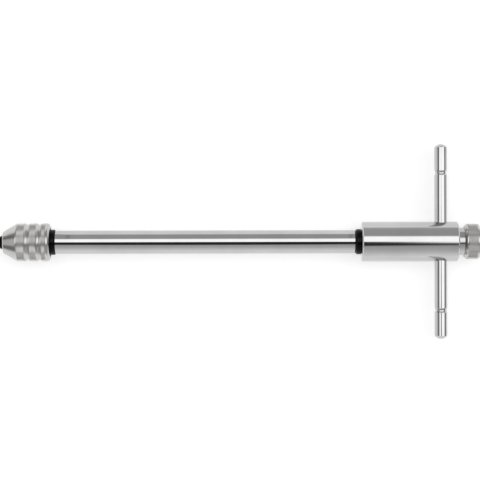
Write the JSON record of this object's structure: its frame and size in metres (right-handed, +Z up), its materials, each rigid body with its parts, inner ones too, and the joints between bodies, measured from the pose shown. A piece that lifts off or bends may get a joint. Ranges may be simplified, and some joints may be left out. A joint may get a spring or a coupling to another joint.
{
  "type": "tap wrench",
  "caption": "Long T-handle ratchet tap wrench: jaw chuck with a knurled nut, chrome tube, ratchet handle with a sliding cross bar, and a knurled selector knob.",
  "frame": {"origin": "centre of the bottom face of the bounding box: on the surface the tool lies on, under the tool axis, halfway between the jaw tips and the back of the knob", "axes": "+X along the tool axis from the jaws to the selector knob, +Y along the cross bar, +Z up from the surface the tool lies on"},
  "size_m": [0.3, 0.122, 0.025],
  "materials": {
    "satin_chrome": "satin chrome plate on turned and knurled steel",
    "polished_chrome": "bright chrome plate on ground steel",
    "black_steel": "gloss black oxide on turned steel",
    "turned_steel": "bare turned steel",
    "hardened_steel": "hardened and ground steel",
    "bright_steel": "ground pin steel",
    "spring_steel": "drawn spring wire",
    "bronze": "oiled sintered bronze"
  },
  "bodies": {
    "spindle": {"chuck_body": "black_steel", "chuck_pin": "bright_steel", "extension_tube": "polished_chrome", "rear_pin": "bright_steel", "spindle_collar": "black_steel", "ratchet_spindle": "hardened_steel", "jaw_springs": "spring_steel"},
    "handle": {"ratchet_housing": "polished_chrome", "front_bush": "bronze", "pawl_pin": "hardened_steel"},
    "pawl": {"pawl": "hardened_steel", "pawl_spring": "spring_steel"},
    "selector": {"selector_stem": "turned_steel", "selector_knob": "satin_chrome", "knob_pin": "bright_steel", "selector_detent_ball": "hardened_steel", "selector_detent_spring": "spring_steel", "bar_detent_ball": "hardened_steel", "bar_detent_spring": "spring_steel"},
    "bar": {"t_bar": "polished_chrome"},
    "nut_ring": {"nut_snap_ring": "spring_steel"},
    "nut": {"chuck_nut": "satin_chrome"},
    "jaw_a": {"jaw_a": "black_steel"},
    "jaw_b": {"jaw_b": "black_steel"}
  },
  "joints": [
    {"name": "handle_turn", "type": "hinge", "parent": "spindle", "child": "handle", "pos_m": [0.12, 0, 0.0125], "axis": [1, 0, 0], "continuous": true},
    {"name": "selector_turn", "type": "hinge", "parent": "handle", "child": "selector", "pos_m": [0.12, 0, 0.0125], "axis": [1, 0, 0], "range_deg": [-20, 20]},
    {"name": "pawl_rock", "type": "hinge", "parent": "handle", "child": "pawl", "pos_m": [0.0925, 0, 0.0207], "axis": [1, 0, 0], "range_deg": [-6.18, 6.18]},
    {"name": "bar_slide", "type": "slide", "parent": "handle", "child": "bar", "axis": [0, 1, 0], "range_m": [-0.043, 0.043]},
    {"name": "nut_advance", "type": "slide", "parent": "spindle", "child": "nut_ring", "axis": [-1, 0, 0], "range_m": [0, 0.00661]},
    {"name": "nut_turn", "type": "hinge", "parent": "nut_ring", "child": "nut", "pos_m": [-0.133, 0, 0.0125], "axis": [-1, 0, 0], "range_deg": [0, 1585.29]},
    {"name": "jaw_a_slide", "type": "slide", "parent": "spindle", "child": "jaw_a", "axis": [0, 0.7071, 0.7071], "range_m": [0, 0.0024], "deforming": ["jaw_springs"]},
    {"name": "jaw_b_slide", "type": "slide", "parent": "spindle", "child": "jaw_b", "axis": [0, -0.7071, -0.7071], "range_m": [0, 0.0024]}
  ],
  "couplings": [
    {"joint": "nut_advance", "follows": "nut_turn", "m_per_rad": 0.00023873},
    {"joint": "jaw_a_slide", "follows": "nut_turn", "m_per_rad": 0.000086891},
    {"joint": "jaw_b_slide", "follows": "nut_turn", "m_per_rad": 0.000086891},
    {"joint": "pawl_rock", "follows": "selector_turn", "ratio": -0.3088}
  ]
}
